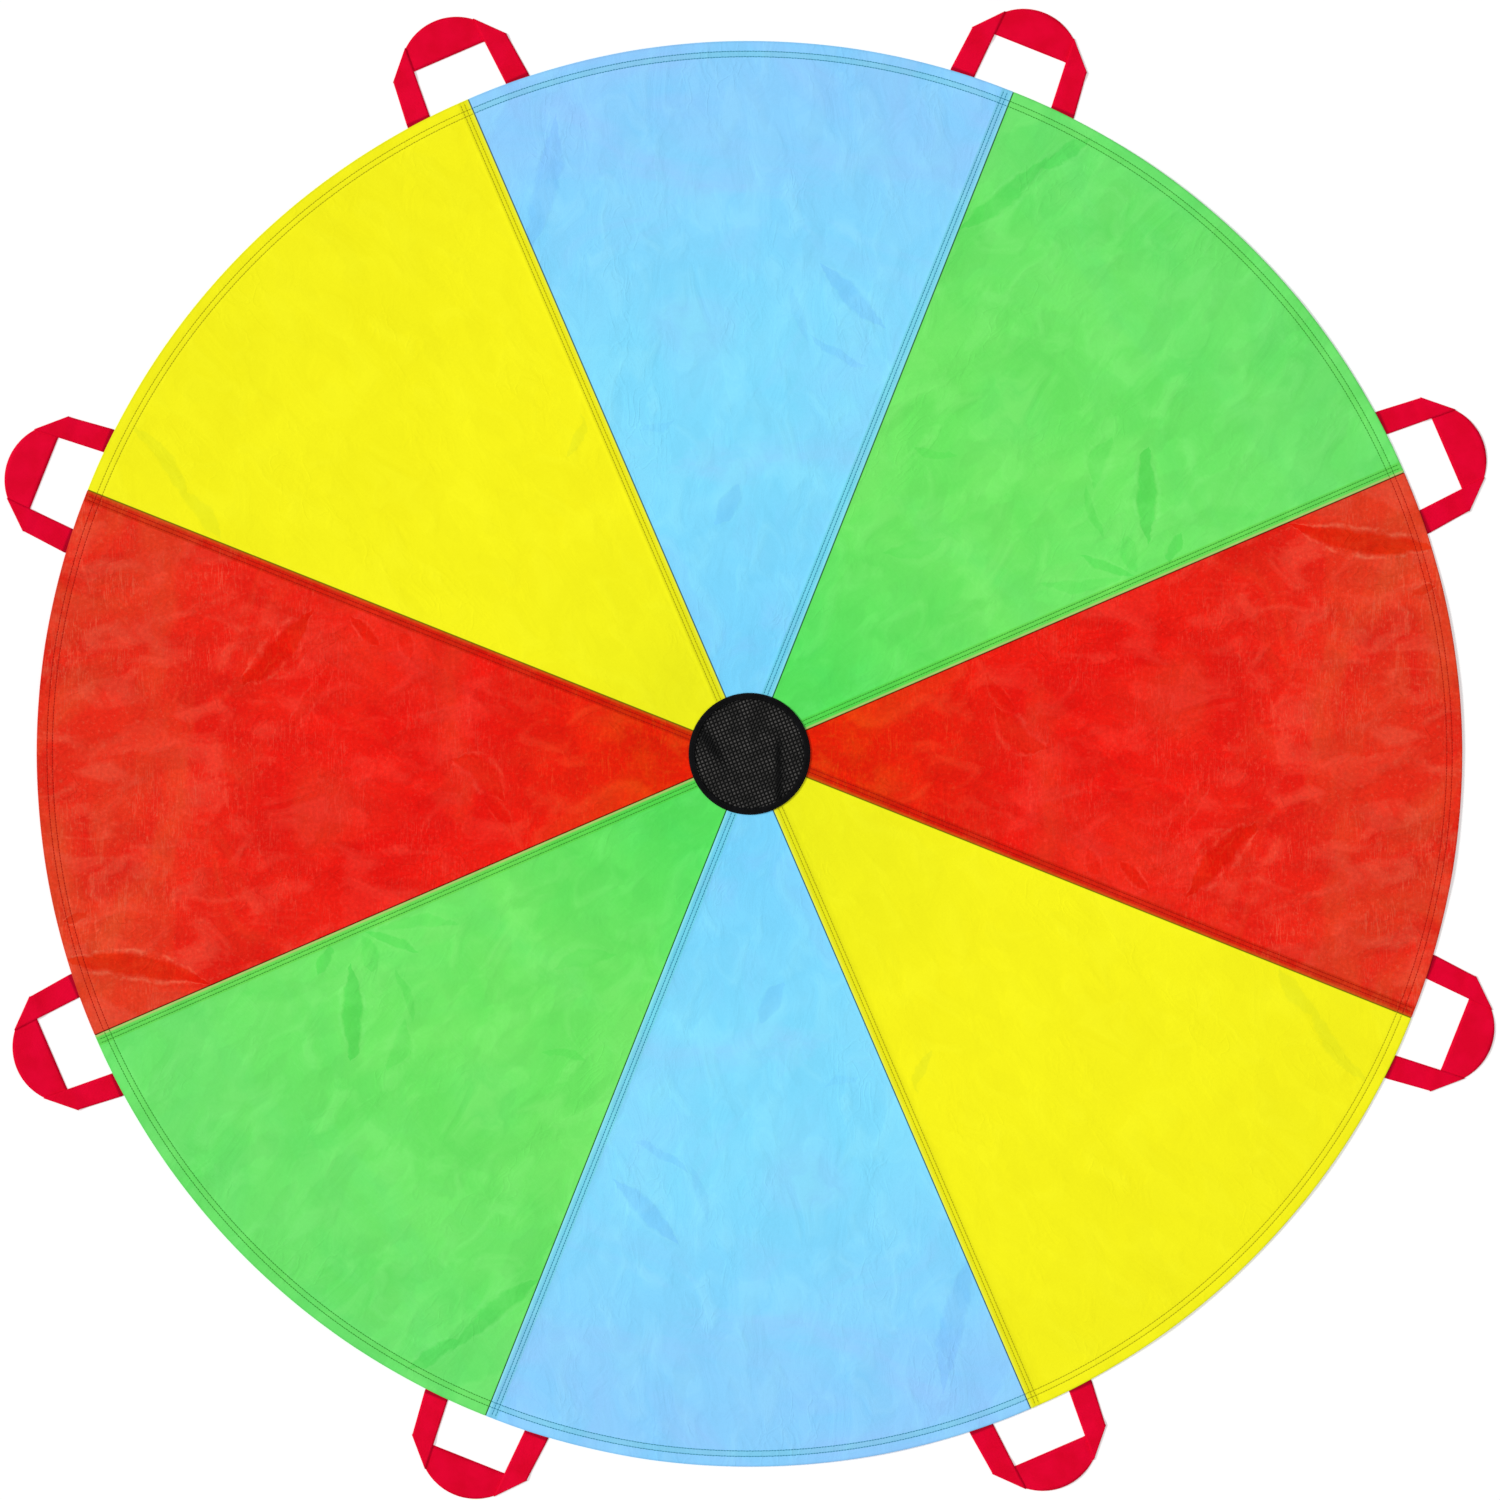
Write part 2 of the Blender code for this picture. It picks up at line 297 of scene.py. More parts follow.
def mottleGroup():
    # Uneven dye: broad blotches, long streaks, scattered specks, fine scratches and a grain
    group, given = shaderGroup("dyeMottle", {"Vector": ("Vector", None)})
    vector = given["Vector"]
    blotches = remap(group, noiseValue(group, vector, 7.0, 5.0, 0.6, 0.8), 0.35, 0.65)
    long = stretched(group, vector, 0.9, (1.5, 0.8, 1.0))
    streaks = remap(group, noiseValue(group, long, 4.0, 5.0, 0.6, 1.2), 0.45, 0.7)
    specks = remap(group, noiseValue(group, vector, 160.0, 3.0, 0.7), 0.58, 0.75)
    grain = remap(group, noiseValue(group, vector, 210.0, 3.0, 0.75), 0.3, 0.7, -1.0, 1.0)
    scratches = 0.0
    for turn, size in ((0.1, (330.0, 34.0, 1.0)), (0.8, (260.0, 40.0, 1.0))):
        scored = noiseValue(group, stretched(group, vector, turn, size), 1.0, 3.0, 0.6, 1.6)
        scratches = calc(group, "MAXIMUM", remap(group, scored, 0.57, 0.72), scratches)
    worn = remap(group, noiseValue(group, vector, 10.0, 3.0, 0.6), 0.40, 0.62)
    giveOut(group, {
        "Blotches": blotches, "Streaks": streaks, "Specks": specks,
        "Scratches": times(group, scratches, worn), "Grain": grain})


def ribGroup():
    # Webbing: ribs across the strap, fine warp along it
    group, given = shaderGroup("webbingRibs", {"Vector": ("Vector", None), "Pitch": ("Float", 0.0016)})
    parts = partsOf(group, given["Vector"])
    along = calc(group, "DIVIDE", parts["Y"], given["Pitch"])
    across = calc(group, "DIVIDE", parts["X"], given["Pitch"])
    warp = calc(group, "SINE", times(group, across, 4 * math.pi))
    shifted = calc(group, "MULTIPLY_ADD", warp, 0.25, along)
    rib = calc(group, "SINE", times(group, shifted, 2 * math.pi))
    rib = calc(group, "MULTIPLY_ADD", rib, 0.5, 0.5)
    height = calc(group, "MULTIPLY_ADD", warp, 0.2, rib)
    giveOut(group, {"Height": height, "Valley": calc(group, "SUBTRACT", 1.0, rib)})


def leafGroup():
    # A fold's flat facet: pointed at both ends, tilted evenly across, with sharp edges
    group, given = shaderGroup("creaseLeaf", {
        "Vector": ("Vector", None), "Centre": ("Vector", (0, 0, 0)), "Turn": ("Vector", (0, 0, 0)),
        "Size": ("Vector", (0.05, 0.01, 1)), "Slope": ("Float", 0.1)})
    own = newNode(group, "ShaderNodeMapping", {
        "Vector": given["Vector"], "Location": given["Centre"], "Rotation": given["Turn"],
        "Scale": given["Size"]}, vector_type="TEXTURE").outputs["Vector"]
    parts = partsOf(group, own)
    run = times(group, parts["X"], parts["X"])
    width = calc(group, "MAXIMUM", calc(group, "SUBTRACT", 1.0, run), 0.002)
    share = calc(group, "DIVIDE", calc(group, "MULTIPLY_ADD", run, 0.5, parts["Y"]), width)
    away = calc(group, "ABSOLUTE", share)
    back = calc(group, "DIVIDE", calc(group, "SUBTRACT", 4.0, away), 3.0)
    ramp = calc(group, "MINIMUM", away, back, clamp=True)
    rise = times(group, times(group, ramp, calc(group, "SIGN", share)), width)
    slope = times(group, partsOf(group, given["Size"])["Y"], given["Slope"])
    mask = calc(group, "MULTIPLY", calc(group, "SUBTRACT", 1.0, away), 4.0, clamp=True)
    offEdge = calc(group, "ABSOLUTE", calc(group, "SUBTRACT", away, 1.25))
    edge = calc(group, "SUBTRACT", 1.0, times(group, offEdge, 3.5), clamp=True)
    giveOut(group, {"Height": times(group, rise, slope), "Mask": mask, "Edge": edge})


def makeGroups():
    weaveGroup()
    crumpleGroup()
    mottleGroup()
    ribGroup()
    leafGroup()


def newMaterial(name, colour, roughness):
    material = bpy.data.materials.new(name)
    material.use_nodes = True
    material.diffuse_color = (*colour, 1)
    tree = material.node_tree
    shader = tree.nodes["Principled BSDF"]
    shader.inputs["Roughness"].default_value = roughness
    shader.inputs["Metallic"].default_value = 0
    place = newNode(tree, "ShaderNodeTexCoord").outputs["Object"]
    return material, tree, shader, place


def connect(tree, shader, colour, roughness, height, distance):
    tree.links.new(colour, shader.inputs["Base Color"])
    tree.links.new(roughness, shader.inputs["Roughness"])
    bump = newNode(tree, "ShaderNodeBump", {"Height": height, "Distance": distance, "Strength": 1.0})
    tree.links.new(bump.outputs["Normal"], shader.inputs["Normal"])


def setShine(shader, specular, sheen=0.0):
    shader.inputs["Specular IOR Level"].default_value = specular
    shader.inputs["Sheen Weight"].default_value = sheen


def floorMaterial():
    material, tree, shader, place = newMaterial("paleFloor", (0.80, 0.80, 0.80), 0.9)
    grain = noiseValue(tree, place, 40.0, 2.0)
    colour = mixColour(tree, grain, (0.79, 0.79, 0.79), (0.81, 0.81, 0.81))
    connect(tree, shader, colour, remap(tree, grain, 0, 1, 0.85, 0.95), grain, 0.0001)
    setShine(shader, 0)
    shader.inputs["Emission Color"].default_value = (1, 1, 1, 1)
    shader.inputs["Emission Strength"].default_value = 0.22
    return material


# The cloth's colours, the tints that its places multiply them by, and how strongly each thing shows. The
# fold tint is painted shade in the creases, the lap tint a painted highlight on the lap's folded edge, and
# facet sets painted light and shade on small crumple facets
dyes = {
    "red": {
        "base": (0.840, 0.0105, 0.0045), "pale": (0.880, 0.0340, 0.0200), "deep": (0.775, 0.0060, 0.0030),
        "streak": (0.790, 0.0400, 0.0130), "streakShare": 0.55, "speck": 0.25, "grain": 0.10, "facet": 0.06,
        "hub": (0.93, 1.55, 0.05), "rim": (0.91, 2.40, 1.95), "fold": (0.97, 0.55, 0.25), "edge": 0.65,
        "strip": (0.82, 0.72, 0.40), "hemStrip": 0.1, "crumple": 0.9, "scratch": 0.4, "shine": 0.03,
        "scuff": (0.880, 0.0700, 0.0420), "lap": (0.600, 0.1800, 0.0100), "lapHighlightShare": 0.35},
    "green": {
        "base": (0.172, 0.797, 0.131), "pale": (0.205, 0.845, 0.158), "deep": (0.138, 0.757, 0.113),
        "streak": (0.155, 0.800, 0.165), "streakShare": 0.35, "speck": 0.10, "grain": 0.012, "facet": 0.035,
        "hub": (0.54, 0.93, 0.82), "rim": (0.89, 0.95, 1.10), "fold": (0.69, 0.955, 0.78), "edge": 0.30,
        "strip": (0.88, 0.90, 0.66), "hemStrip": 0.3, "crumple": 0.4, "scratch": 0.15, "shine": 0.06,
        "scuff": (0.250, 0.870, 0.210), "lap": (0.560, 0.500, 0.190), "lapHighlightShare": 0.7},
    "blue": {
        "base": (0.224, 0.716, 0.990), "pale": (0.255, 0.765, 1.000), "deep": (0.200, 0.694, 0.975),
        "streak": (0.278, 0.645, 0.985), "streakShare": 0.55, "speck": 0.08, "grain": 0.010, "facet": 0.02,
        "hub": (0.85, 0.91, 0.99), "rim": (1.14, 0.86, 1.00), "fold": (0.92, 0.925, 1.02), "edge": 0.20,
        "strip": (0.82, 0.96, 0.84), "hemStrip": 0.8, "crumple": 0.45, "scratch": 0.08, "shine": 0.06,
        "scuff": (0.290, 0.790, 1.000), "lap": (0.270, 0.780, 0.850), "lapHighlightShare": 0.6},
    "yellow": {
        "base": (0.935, 0.902, 0.0075), "pale": (0.950, 0.920, 0.0100), "deep": (0.915, 0.878, 0.0060),
        "streak": (0.905, 0.830, 0.0060), "streakShare": 0.25, "speck": 0.05, "grain": 0.006, "facet": 0.012,
        "hub": (0.91, 0.95, 1.00), "rim": (0.97, 0.97, 1.00), "fold": (0.86, 0.92, 1.60), "edge": 0.0,
        "strip": (0.90, 0.905, 0.80), "hemStrip": 0.2, "crumple": 0.3, "scratch": 0.0, "shine": 0.06,
        "scuff": (0.950, 0.920, 0.010), "lap": (0.800, 0.880, 0.080), "lapHighlightShare": 0.5},
}
facets = {  # tilt, and share of the painted shade inside the crease
    "strong": (0.045, 1.0), "middle": (0.035, 0.75), "faint": (0.02, 0.45),
}


def creaseFacets(tree, own, colourName, turn):
    # Every crease of the panel as a tilted facet, leaning away from the key lamp, with painted shade inside
    # it and a lighter rim along its edges
    wander = newNode(tree, "ShaderNodeVectorMath", {
        0: noiseValue(tree, own, 22.0, 4.0, 0.58, output="Color"), 1: (0.5, 0.5, 0.5),
    }, operation="SUBTRACT").outputs["Vector"]
    moved = newNode(tree, "ShaderNodeVectorMath", {
        0: wander, 1: (0.024, 0.024, 0), 2: own}, operation="MULTIPLY_ADD").outputs["Vector"]
    height, leafShade, edge = 0.0, 0.0, 0.0
    for along, across, heading, length, width, strength in creases[colourName]:
        tilt, share = facets[strength]
        leaf = fillGroup(tree, "creaseLeaf", {
            "Vector": moved, "Centre": (along, across, 0), "Turn": (0, 0, math.radians(heading)),
            "Size": (length / 2, width / 2, 1), "Slope": tilt * leanOf(turn, heading)})
        height = calc(tree, "ADD", leaf["Height"], height)
        leafShade = calc(tree, "MAXIMUM", times(tree, leaf["Mask"], share), leafShade)
        edge = calc(tree, "MAXIMUM", times(tree, leaf["Edge"], share), edge)
    return height, leafShade, edge


def shadeBy(tree, colour, share, tint):
    return mixColour(tree, share, colour, tint, "MULTIPLY")


def clothMaterial(name, colourName, turn):
    dye = dyes[colourName]
    material, tree, shader, place = newMaterial(name, dye["base"], 0.5)
    own = stretched(tree, place, -turn, (1, 1, 1))
    mottle = fillGroup(tree, "dyeMottle", {"Vector": own})
    crumple = fillGroup(tree, "clothCrumple", {"Vector": own})
    weave = fillGroup(tree, "threadWeave", {"Vector": own, "Pitch": 0.0006})
    creaseHeight, paintedCreaseShade, creaseEdge = creaseFacets(tree, own, colourName, turn)
    colour = mixColour(tree, mottle["Blotches"], dye["deep"], dye["base"])
    colour = mixColour(tree, times(tree, mottle["Streaks"], dye["streakShare"]), colour, dye["streak"])
    palePatch = times(tree, remap(tree, crumple["Dents"], 0.5, 0.7), 0.6)
    colour = mixColour(tree, palePatch, colour, dye["pale"])
    scuffs = times(tree, mottle["Specks"], dye["speck"])
    broken = remap(tree, noiseValue(tree, own, 45.0, 4.0, 0.7), 0.42, 0.62)
    # A lighter rim along each crease's edge, broken up by noise
    scuffs = calc(tree, "MULTIPLY_ADD", times(tree, creaseEdge, broken), dye["edge"], scuffs)
    scuffs = calc(tree, "MULTIPLY_ADD", mottle["Scratches"], dye["scratch"], scuffs)
    colour = mixColour(tree, calc(tree, "MINIMUM", scuffs, 1.0), colour, dye["scuff"])
    radius = newNode(tree, "ShaderNodeVectorMath", {0: place}, operation="LENGTH").outputs["Value"]
    colour = shadeBy(tree, colour, remap(tree, radius, 0.36, 0.14, 0.0, 0.9), dye["hub"])
    colour = shadeBy(tree, colour, remap(tree, radius, 0.55, 0.85, 0.0, 0.9), dye["rim"])
    # Painted shade: each crease darkened by its fold tint, standing for a facet turned from the key lamp
    colour = shadeBy(tree, colour, paintedCreaseShade, dye["fold"])
    colour = shadeBy(tree, colour, attributeOf(tree, "stripShade"), dye["strip"])
    # Painted highlight: the lap's folded edge turned paler, as if catching the light
    lapEdge = times(tree, attributeOf(tree, "lapEdge"), dye["lapHighlightShare"])
    colour = mixColour(tree, lapEdge, colour, dye["lap"])
    # Painted shade in the dip along each stitch row and by the hem's fold
    colour = shadeBy(tree, colour, attributeOf(tree, "rowShade"), (0.80, 0.84, 0.86))
    # Painted shadow in the gap at each lap's edge
    colour = shadeBy(tree, colour, attributeOf(tree, "gapShade"), (0.18, 0.18, 0.18))
    # The dye's grain, and painted light and shade on the small crumple facets, each a little lighter or
    # darker
    lightness = times(
        tree, calc(tree, "MULTIPLY_ADD", mottle["Grain"], dye["grain"], 1.0),
        remap(tree, crumple["Facets"], 0.0, 1.0, 1.0 - dye["facet"], 1.0 + dye["facet"]))
    tint = newNode(tree, "ShaderNodeCombineColor", {0: lightness, 1: lightness, 2: lightness}).outputs[0]
    colour = shadeBy(tree, colour, 1.0, tint)
    height = calc(tree, "ADD", times(tree, weave["Height"], 0.000036), creaseHeight)
    for output, rise in (("Dents", 0.0026), ("Lines", 0.0004), ("Facets", 0.0005)):
        height = calc(tree, "MULTIPLY_ADD", crumple[output], rise * dye["crumple"], height)
    roughness = remap(tree, mottle["Blotches"], 0, 1, 0.46, 0.58)
    connect(tree, shader, colour, roughness, height, 1.0)
    setShine(shader, dye["shine"])
    return material


threadTints = {
    "red": (0.540, 0.006, 0.0025), "green": (0.048, 0.390, 0.034),
    "blue": (0.036, 0.310, 0.470), "yellow": (0.510, 0.440, 0.004),
}


def threadMaterial(name, colour, fromAttribute=False):
    material, tree, shader, place = newMaterial(name, colour, 0.55)
    fibre = noiseValue(tree, place, 2600.0, 2.0)
    dark, light = (tuple(part * share for part in colour) for share in (0.7, 1.0))
    if fromAttribute:
        light = attributeOf(tree, "threadTint", "Color")
        dark = shadeBy(tree, light, 1.0, (0.7, 0.7, 0.7))
    shown = mixColour(tree, fibre, dark, light)
    connect(tree, shader, shown, remap(tree, fibre, 0, 1, 0.45, 0.65), fibre, 0.0001)
    setShine(shader, 0.06, 0.01)
    return material


def blackMaterial(name, colour, pale, pitch, distance, shine, shadedColour=None):
    material, tree, shader, place = newMaterial(name, colour, 0.6)
    height = fillGroup(tree, "threadWeave", {"Vector": place, "Pitch": pitch})["Height"]
    # Dust, and painted light and shade in broad patches
    dustAndShade = remap(tree, noiseValue(tree, place, 42.0, 4.0, 0.6), 0.38, 0.66)
    shown = mixColour(tree, dustAndShade, colour, pale)
    # Painted highlight on the top crossings, painted shade under them and on the back layer
    if shadedColour:
        top = remap(tree, attributeOf(tree, "crossing"), 0.35, 0.95)
        shown = mixColour(tree, top, shadedColour, shown)
    connect(tree, shader, shown, remap(tree, dustAndShade, 0, 1, 0.45, 0.65), height, distance)
    setShine(shader, shine)
    return material


def webbingMaterial():
    material, tree, shader, place = newMaterial("webbing", (0.723, 0.002, 0.028), 0.6)
    woven = newNode(tree, "ShaderNodeUVMap", uv_map="strap").outputs["UV"]
    ribs = fillGroup(tree, "webbingRibs", {"Vector": woven, "Pitch": 0.0018})
    colour = mixColour(
        tree, remap(tree, noiseValue(tree, place, 30.0, 4.0), 0.35, 0.65),
        (0.800, 0.0003, 0.024), (0.890, 0.0006, 0.034))
    # Painted shade in the valleys between the ribs
    colour = mixColour(tree, times(tree, ribs["Valley"], 0.16), colour, (0.500, 0.0002, 0.014))
    # Painted shadow where the strap goes under the hem, and painted shade along its folds
    colour = shadeBy(tree, colour, attributeOf(tree, "tuckShade"), (0.55, 0.40, 0.60))
    roughness = remap(tree, ribs["Height"], 0, 1, 0.7, 0.55)
    connect(tree, shader, colour, roughness, ribs["Height"], 0.00018)
    setShine(shader, 0.03)
    return material


# How the cloth lies: low swells, and the creases that the photograph shows

lie = {
    "swell": 0.0011, "rumple": 0.0009, "seamRise": 0.0004,
    "strongRise": 0.0006, "middleRise": 0.0004, "faintRise": 0.0002,
    "crumpling": {"red": 1.5, "green": 1.1, "blue": 1.0, "yellow": 0.5},
    "waves": [  # turns along X and Y, and where each begins
        (9.0, 4.0, 0.3), (-5.0, 11.0, 1.9), (14.0, -7.0, 4.4), (17.0, 13.0, 2.6), (-21.0, 8.0, 5.2)],
    "hubFlat": (0.085, 0.17), "rimFlat": (0.80, 0.895),  # radii between which the swells come and go
}
creases = {  # from the panel's middle line: along, across, heading in degrees, length, width, strength
    "blue": [
        (0.58, -0.14, 45, 0.12, 0.028, "strong"), (0.56, -0.07, 16, 0.08, 0.016, "faint"),
        (0.51, -0.12, 59, 0.08, 0.014, "middle"), (0.32, 0.02, 157, 0.06, 0.026, "middle"),
        (0.73, 0.25, 165, 0.19, 0.034, "middle"), (0.42, 0.11, 106, 0.05, 0.012, "faint"),
    ],
    "green": [
        (0.74, 0.263, 173, 0.145, 0.026, "middle"), (0.83, 0.245, 162, 0.085, 0.022, "middle"),
        (0.59, -0.133, 45, 0.13, 0.028, "strong"), (0.58, -0.058, 25, 0.075, 0.026, "faint"),
        (0.527, -0.10, 67, 0.075, 0.015, "faint"), (0.335, 0.03, 154, 0.08, 0.024, "faint"),
        (0.44, 0.10, 122, 0.06, 0.012, "faint"), (0.49, -0.162, 115, 0.085, 0.015, "middle"),
        (0.45, -0.156, 140, 0.105, 0.016, "faint"), (0.524, -0.17, 61, 0.05, 0.020, "faint"),
        (0.57, -0.204, 28, 0.045, 0.013, "middle"),
    ],
    "red": [
        (0.60, -0.14, 46, 0.13, 0.034, "strong"), (0.59, -0.122, 29, 0.075, 0.022, "faint"),
        (0.49, -0.165, 134, 0.06, 0.017, "middle"), (0.44, -0.15, 127, 0.045, 0.018, "faint"),
        (0.344, 0.02, 142, 0.085, 0.032, "middle"), (0.32, 0.07, 129, 0.065, 0.016, "faint"),
        (0.79, 0.26, 170, 0.19, 0.032, "strong"), (0.56, -0.08, 59, 0.10, 0.018, "faint"),
        (0.87, 0.20, 20, 0.035, 0.012, "middle"),
    ],
    "yellow": [
        (0.72, 0.267, 174, 0.085, 0.024, "faint"), (0.80, 0.251, 170, 0.12, 0.024, "faint"),
        (0.44, -0.14, 119, 0.065, 0.014, "faint"),
    ],
}
rumpleMap = {"reach": 1.0, "cells": 400}


def makeRumpleMap():
    # Ridged wrinkles, worked out once on a grid and read between its points
    cells, reach = rumpleMap["cells"], rumpleMap["reach"]
    steps = [-reach + 2 * reach * number / cells for number in range(cells + 1)]
    values = np.array([
        [noise.ridged_multi_fractal(Vector((x * 7, y * 7, 3.1)), 0.9, 2.1, 4, 0.9, 1.6) for x in steps]
        for y in steps])
    values -= values.min()
    rumpleMap["values"] = values / values.max()


def rumpleAt(x, y):
    cells, reach, values = (rumpleMap[key] for key in ("cells", "reach", "values"))
    column = np.clip((x + reach) / (2 * reach) * cells, 0, cells - 1e-6)
    row = np.clip((y + reach) / (2 * reach) * cells, 0, cells - 1e-6)
    left, low = column.astype(int), row.astype(int)
    u, v = column - left, row - low
    below = values[low, left] * (1 - u) + values[low, left + 1] * u
    above = values[low + 1, left] * (1 - u) + values[low + 1, left + 1] * u
    return below * (1 - v) + above * v


def leanOf(turn, heading):
    # The sign that tilts a crease's facet away from the key lamp
    return -1 if math.cos(turn + math.radians(heading + 90)) > 0 else 1


def creaseRise(along, across, crease, turn):
    # A leaf: a ridge with a dent beside it, closing to a point at both ends, on a wider swell
    middleAlong, middleAcross, heading, length, width, strength = crease
    s, t = turned(along - middleAlong, across - middleAcross, -math.radians(heading))
    inside = np.clip(1 - (2 * s / length) ** 2, 0, None)
    share = t / (width / 2 * np.sqrt(inside) + 0.0005) * leanOf(turn, heading)
    leaf = np.sqrt(inside) * (bell(share, 0.8, 0.9) - bell(share, -0.8, 0.9))
    swell = 0.5 * bell(s, 0, length / 2) * bell(t, 0, width * 1.5)
    return lie[strength + "Rise"] * (leaf + swell)


def offSeam(angle):
    # The angle from the nearest seam, above zero on its lap's side
    return (angle - halfTurn + panelTurn / 2) % panelTurn - panelTurn / 2


def clothHeight(x, y):
    radius = np.hypot(x, y)
    angle = np.arctan2(y, x)
    total = np.zeros_like(radius)
    for waveX, waveY, phase in lie["waves"]:
        total += 0.2 * (1 + np.sin(waveX * x + waveY * y + phase))
    total *= lie["swell"]
    crumpling = np.zeros_like(radius)
    weight = np.zeros_like(radius)
    for number, (panelName, colourName) in enumerate(panels):
        middle = number * panelTurn
        off = np.abs((angle - middle + math.pi) % (2 * math.pi) - math.pi)
        near = np.exp(-(off / 0.3) ** 4)
        crumpling += near * lie["crumpling"][colourName]
        weight += near
        along, across = turned(x, y, -middle)
        nearby = off < 0.5
        for crease in creases[colourName]:
            total[nearby] += creaseRise(along[nearby], across[nearby], crease, middle)
    total += lie["rumple"] * rumpleAt(x, y) * crumpling / weight
    side = offSeam(angle) * radius
    atRim = smoothStep(*lie["rimFlat"], radius) * (1 - 0.7 * smoothStep(0.11, 0.22, np.abs(side)))
    total = np.clip(total, -0.0008, None) * smoothStep(*lie["hubFlat"], radius) * (1 - atRim)
    seam = smoothStep(-0.004, 0.0, side) * (1 - smoothStep(0.013, 0.019, side))
    rise = lie["seamRise"] * seam * smoothStep(0.08, 0.10, radius) * (1 - smoothStep(0.885, 0.90, radius))
    return total + rise


# Panels

cloth = {
    "thickness": 0.0002, "sheetHeight": 0.0019, "layerStep": 0.00035,
    "innerRadius": 0.071, "hemDepth": 0.022, "columns": 150, "rows": 188,
    "seamRows": (0.0065, 0.0115), "hemRows": (0.013, 0.020), "rowHalfWidth": 0.0011, "rowDip": 0.00012,
    "allowance": 0.0140, "seamReach": 0.0165,  # the cloth under a lap, and where a panel's even grid starts
    "stackShare": 1.05, "stackReach": (0.017, 0.030),  # how a seam's layers thicken the hem beside it
    "gapReach": (-0.0010, 0.0013), "foldReach": 0.0013, "lapReach": 0.0020,  # how far the painted shadow in the gap, the painted shade by the fold and the painted highlight on the lap's edge reach
}


def acrossStations():
    # From the edge turned under along the lap, over the panel, to the allowance under its neighbour
    step, reach = cloth["layerStep"], cloth["seamReach"]
    stations = [("lap", edge, -step) for edge in (0.0060, 0.0030, 0.0010)]
    stations += [("lap", 0.00005, -0.85 * step), ("lap", 0.0, -0.5 * step), ("lap", 0.00005, -0.15 * step)]
    edges = [0.0004, 0.0015, 0.0035]
    for row in cloth["seamRows"]:
        edges += [row - cloth["rowHalfWidth"], row, row + cloth["rowHalfWidth"]]
    edges.insert(-3, sum(cloth["seamRows"]) / 2)
    stations += [("lap", edge, 0.0) for edge in [*edges, 0.0138, 0.0148, reach]]
    stations += [("middle", number / cloth["columns"], 0.0) for number in range(1, cloth["columns"])]
    stations += [("seam", edge, 0.0) for edge in (reach, 0.0110, 0.0065, 0.0035, 0.0020)]
    stations += [("seam", 0.0012, -0.6 * step), ("seam", 0.0006, -1.4 * step), ("seam", 0.0, -1.9 * step)]
    stations += [("seam", edge, -2 * step) for edge in (-0.0012, -0.0060, -cloth["allowance"])]
    return stations


def alongStations():
    # Outwards over the panel, round the hem's fold, and back underneath; distances are in from the rim
    start, end = rimRadius - cloth["innerRadius"], cloth["hemRows"][1] + 0.006
    count, half = cloth["rows"], cloth["rowHalfWidth"]
    depths = [start + (end - start) * number / count for number in range(count + 1)]
    for row in reversed(cloth["hemRows"]):
        depths += [row + half, row, row - half]
    depths.insert(-3, sum(cloth["hemRows"]) / 2)
    stations = [("top", depth) for depth in depths + [0.0070, 0.0030, 0.0012]]
    stations += [("fold", angle) for angle in (60, 20, -20, -60)]
    return stations + [("under", edge) for edge in (0.0010, 0.0060, 0.0110, 0.0160, cloth["hemDepth"])]


def hemStack(fromSeam):
    # Half of what a seam's layers add to the hem's fold
    return cloth["stackShare"] * cloth["layerStep"] * (1 - smoothStep(*cloth["stackReach"], fromSeam))


